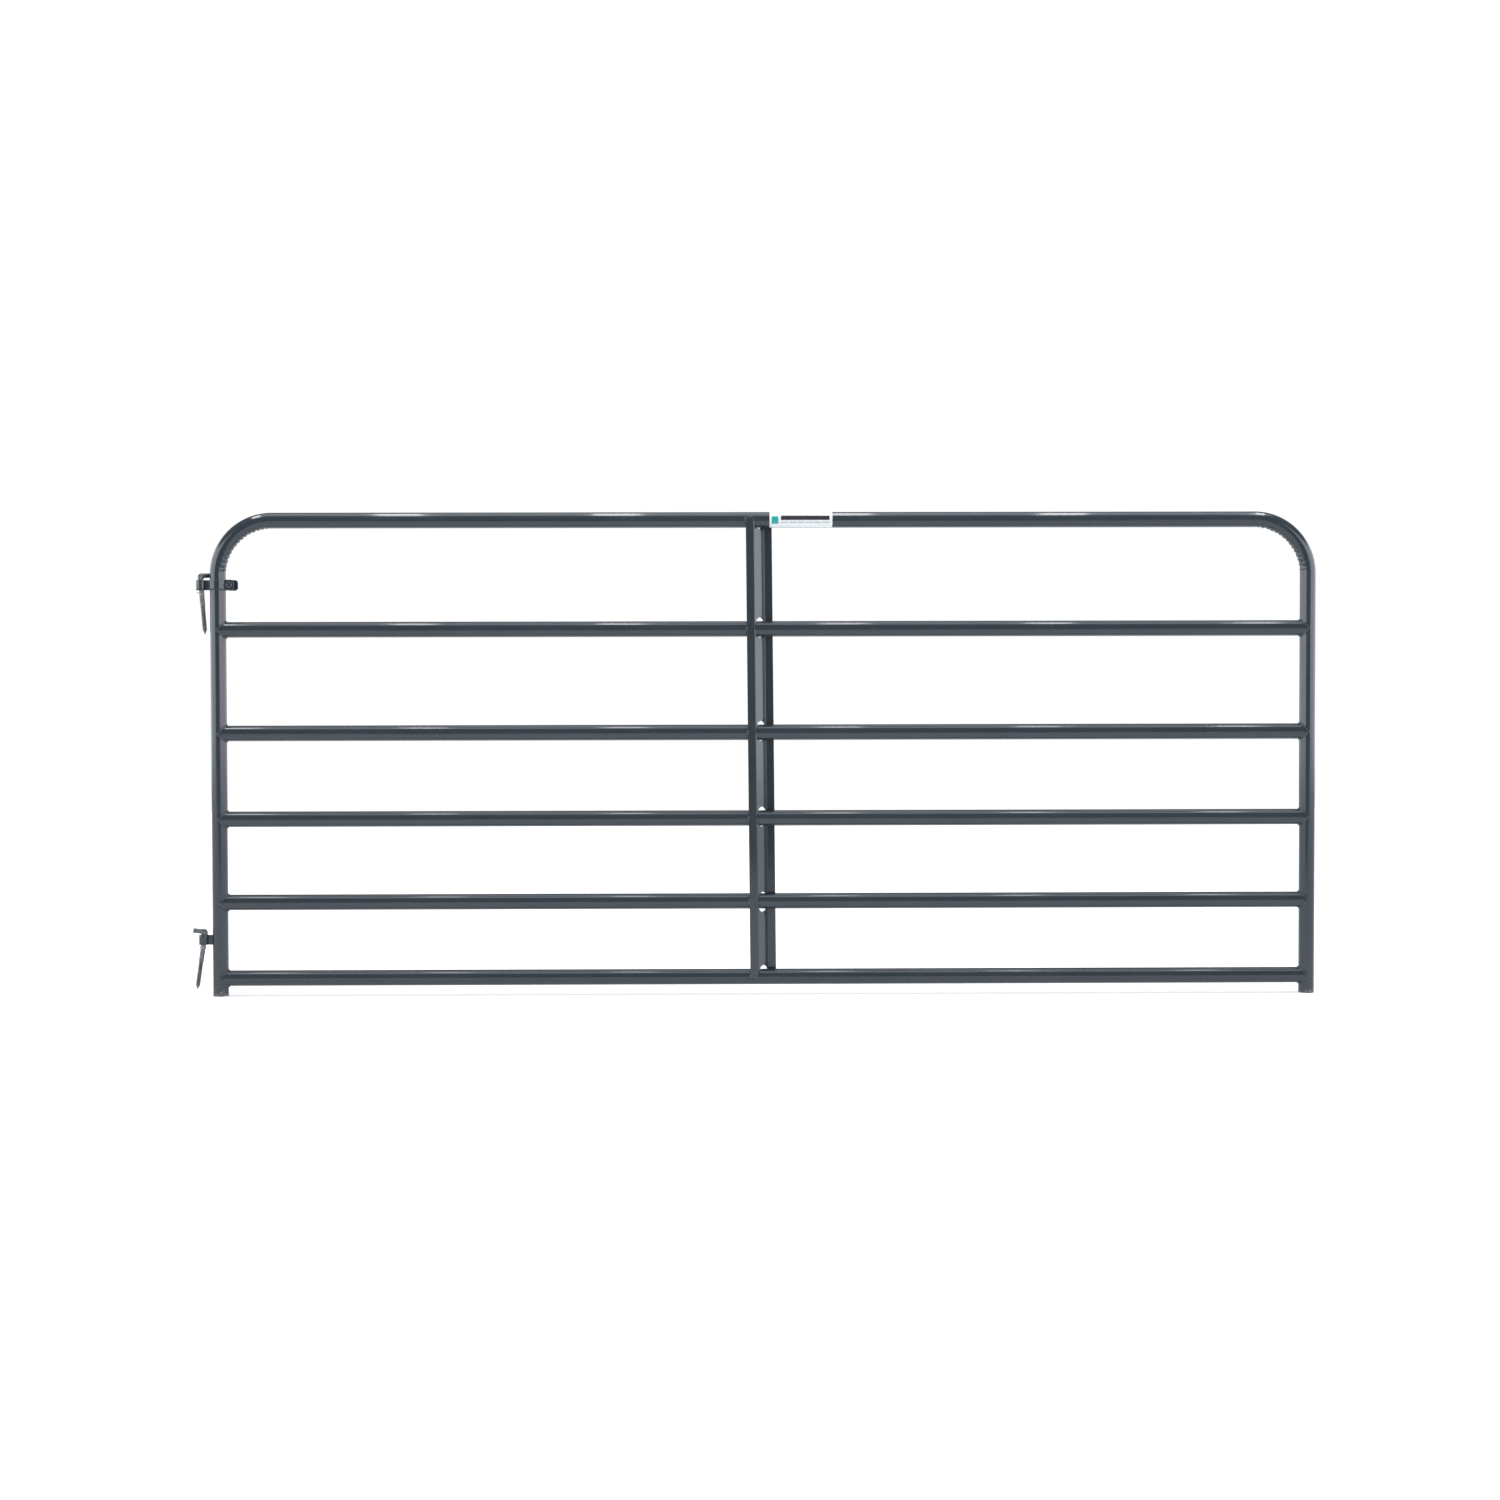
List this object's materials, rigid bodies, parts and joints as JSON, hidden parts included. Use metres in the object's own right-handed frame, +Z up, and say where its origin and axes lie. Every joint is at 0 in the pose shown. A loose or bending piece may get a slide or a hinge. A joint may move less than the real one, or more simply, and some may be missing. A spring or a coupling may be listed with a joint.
{
  "type": "livestock panel gate",
  "caption": "Round-tube livestock gate: bent frame, horizontal rails through a punched Z brace, clamp-on and weld-on hinge eyes with loose screw hooks.",
  "frame": {"origin": "on the line through both hinge eyes, level with the post feet", "axes": "+X from the hinge line along the gate to the latch end, +Z up, -Y towards the face with the label"},
  "size_m": [2.9594, 0.0533, 1.27],
  "materials": {
    "gate_paint": "glossy dark slate powder coat",
    "zinc_plate": "zinc plated, slightly dulled",
    "tie_wire": "plain galvanised wire",
    "label_film": "printed vinyl"
  },
  "bodies": {
    "gate": {"perimeter_tube": "gate_paint", "rail_1": "gate_paint", "rail_2": "gate_paint", "rail_3": "gate_paint", "rail_4": "gate_paint", "rail_5": "gate_paint", "z_brace": "gate_paint", "upper_hinge_strap": "gate_paint", "clamp_bolt": "gate_paint", "clamp_washer": "gate_paint", "clamp_nut": "gate_paint", "lower_hinge_eye": "gate_paint", "label": "label_film", "left_post_welds": "gate_paint", "right_post_welds": "gate_paint", "brace_welds": "gate_paint", "lower_hinge_weld": "gate_paint"},
    "upper_hook": {"upper_screw_hook": "zinc_plate", "upper_tie_wire": "tie_wire"},
    "lower_hook": {"lower_screw_hook": "zinc_plate", "lower_tie_wire": "tie_wire"}
  },
  "joints": [
    {"name": "upper_hook_swivel", "type": "hinge", "parent": "gate", "child": "upper_hook", "pos_m": [0, 0, 1.0805], "axis": [0, 0, 1], "range_deg": [-4, 279]},
    {"name": "lower_hook_swivel", "type": "hinge", "parent": "gate", "child": "lower_hook", "pos_m": [0, 0, 0.1482], "axis": [0, 0, 1], "range_deg": [-157, 127]}
  ]
}
